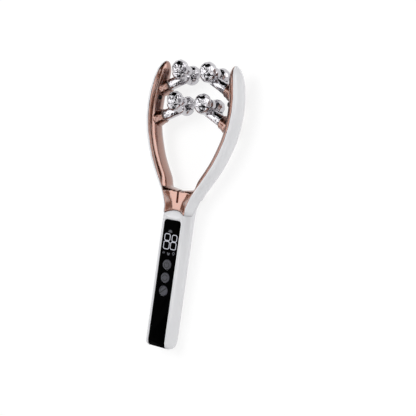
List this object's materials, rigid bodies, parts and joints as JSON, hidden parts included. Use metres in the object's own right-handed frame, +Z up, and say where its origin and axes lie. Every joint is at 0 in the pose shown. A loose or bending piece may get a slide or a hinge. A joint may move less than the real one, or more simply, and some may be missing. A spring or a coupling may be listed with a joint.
{
  "type": "facial massager",
  "caption": "Y-shaped handheld facial massager: display handle, rose-gold lined fork and faceted chrome ball rollers on short arms.",
  "frame": {"origin": "under the middle of the bounding box, on the surface that the massager lies on", "axes": "+Y from the charging end of the handle to the tips of the tines, +Z up from the surface, the side with the display facing up, +X across the fork. The massager lies on its back, so the handle rises 2.4 degrees towards the tips, where the rear rollers carry it."},
  "size_m": [0.0824, 0.2204, 0.0323],
  "materials": {
    "white_gloss": "high-gloss white ABS",
    "rose_gold": "rose-gold electroplated ABS, polished",
    "chrome": "bright chrome plating on zinc alloy",
    "black_panel": "gloss black",
    "button_grey": "fine matt",
    "board_green": "solder mask",
    "steel": "turned",
    "acetal": "moulded",
    "cell_foil": "laminate pouch",
    "red_insulation": "silicone insulation"
  },
  "bodies": {
    "massager": {"handle_rear_shell": "white_gloss", "handle_front_shell": "white_gloss", "display_panel": "black_panel", "circuit_board": "board_green", "display_module": "acetal", "battery_cell": "cell_foil", "vibration_motor": "steel", "charging_socket": "steel", "fork_liner": "rose_gold", "tine_shell_left": "white_gloss", "tine_shell_right": "white_gloss", "dome_plug_left": "black_panel", "dome_plug_right": "black_panel", "lead_left": "red_insulation", "lead_right": "red_insulation", "shell_screw_left": "steel", "shell_screw_right": "steel", "tact_switch_top": "steel", "tact_switch_middle": "steel", "tact_switch_bottom": "steel", "arm_upper_left": "chrome", "arm_upper_right": "chrome", "arm_lower_left": "chrome", "arm_lower_right": "chrome", "arm_screw_upper_left": "steel", "arm_screw_upper_right": "steel", "arm_screw_lower_left": "steel", "arm_screw_lower_right": "steel", "axle_upper_left": "steel", "axle_upper_right": "steel", "axle_lower_left": "steel", "axle_lower_right": "steel"},
    "roller_upper_left_front": {"roller_upper_left_front": "chrome", "bush_upper_left_front": "acetal"},
    "roller_upper_left_rear": {"roller_upper_left_rear": "chrome", "bush_upper_left_rear": "acetal"},
    "roller_upper_right_front": {"roller_upper_right_front": "chrome", "bush_upper_right_front": "acetal"},
    "roller_upper_right_rear": {"roller_upper_right_rear": "chrome", "bush_upper_right_rear": "acetal"},
    "roller_lower_left_front": {"roller_lower_left_front": "chrome", "bush_lower_left_front": "acetal"},
    "roller_lower_left_rear": {"roller_lower_left_rear": "chrome", "bush_lower_left_rear": "acetal"},
    "roller_lower_right_front": {"roller_lower_right_front": "chrome", "bush_lower_right_front": "acetal"},
    "roller_lower_right_rear": {"roller_lower_right_rear": "chrome", "bush_lower_right_rear": "acetal"},
    "button_top": {"button_top": "button_grey"},
    "button_middle": {"button_middle": "button_grey"},
    "button_bottom": {"button_bottom": "button_grey"},
    "motor_weight": {"motor_weight": "steel"}
  },
  "joints": [
    {"name": "roller_upper_left_front_spin", "type": "hinge", "parent": "massager", "child": "roller_upper_left_front", "pos_m": [-0.0129, 0.10322, 0.01628], "axis": [0.0418, 0.0453, 0.9981], "continuous": true},
    {"name": "roller_upper_left_rear_spin", "type": "hinge", "parent": "massager", "child": "roller_upper_left_rear", "pos_m": [-0.0129, 0.10322, 0.01628], "axis": [0.0418, 0.0453, 0.9981], "continuous": true},
    {"name": "roller_upper_right_front_spin", "type": "hinge", "parent": "massager", "child": "roller_upper_right_front", "pos_m": [0.0129, 0.10322, 0.01628], "axis": [-0.0418, 0.0453, 0.9981], "continuous": true},
    {"name": "roller_upper_right_rear_spin", "type": "hinge", "parent": "massager", "child": "roller_upper_right_rear", "pos_m": [0.0129, 0.10322, 0.01628], "axis": [-0.0418, 0.0453, 0.9981], "continuous": true},
    {"name": "roller_lower_left_front_spin", "type": "hinge", "parent": "massager", "child": "roller_lower_left_front", "pos_m": [-0.0129, 0.07919, 0.01647], "axis": [0.0418, 0.0453, 0.9981], "continuous": true},
    {"name": "roller_lower_left_rear_spin", "type": "hinge", "parent": "massager", "child": "roller_lower_left_rear", "pos_m": [-0.0129, 0.07919, 0.01647], "axis": [0.0418, 0.0453, 0.9981], "continuous": true},
    {"name": "roller_lower_right_front_spin", "type": "hinge", "parent": "massager", "child": "roller_lower_right_front", "pos_m": [0.0129, 0.07919, 0.01647], "axis": [-0.0418, 0.0453, 0.9981], "continuous": true},
    {"name": "roller_lower_right_rear_spin", "type": "hinge", "parent": "massager", "child": "roller_lower_right_rear", "pos_m": [0.0129, 0.07919, 0.01647], "axis": [-0.0418, 0.0453, 0.9981], "continuous": true},
    {"name": "button_top_press", "type": "slide", "parent": "massager", "child": "button_top", "axis": [0, 0.0419, -0.9991], "range_m": [0, 0.0005], "stiffness_N_per_m": 600},
    {"name": "button_middle_press", "type": "slide", "parent": "massager", "child": "button_middle", "axis": [0, 0.0419, -0.9991], "range_m": [0, 0.0005], "stiffness_N_per_m": 600},
    {"name": "button_bottom_press", "type": "slide", "parent": "massager", "child": "button_bottom", "axis": [0, 0.0419, -0.9991], "range_m": [0, 0.0005], "stiffness_N_per_m": 600},
    {"name": "motor_weight_spin", "type": "hinge", "parent": "massager", "child": "motor_weight", "pos_m": [0, -0.04397, 0.0083], "axis": [0, 0.9991, 0.0419], "continuous": true}
  ]
}
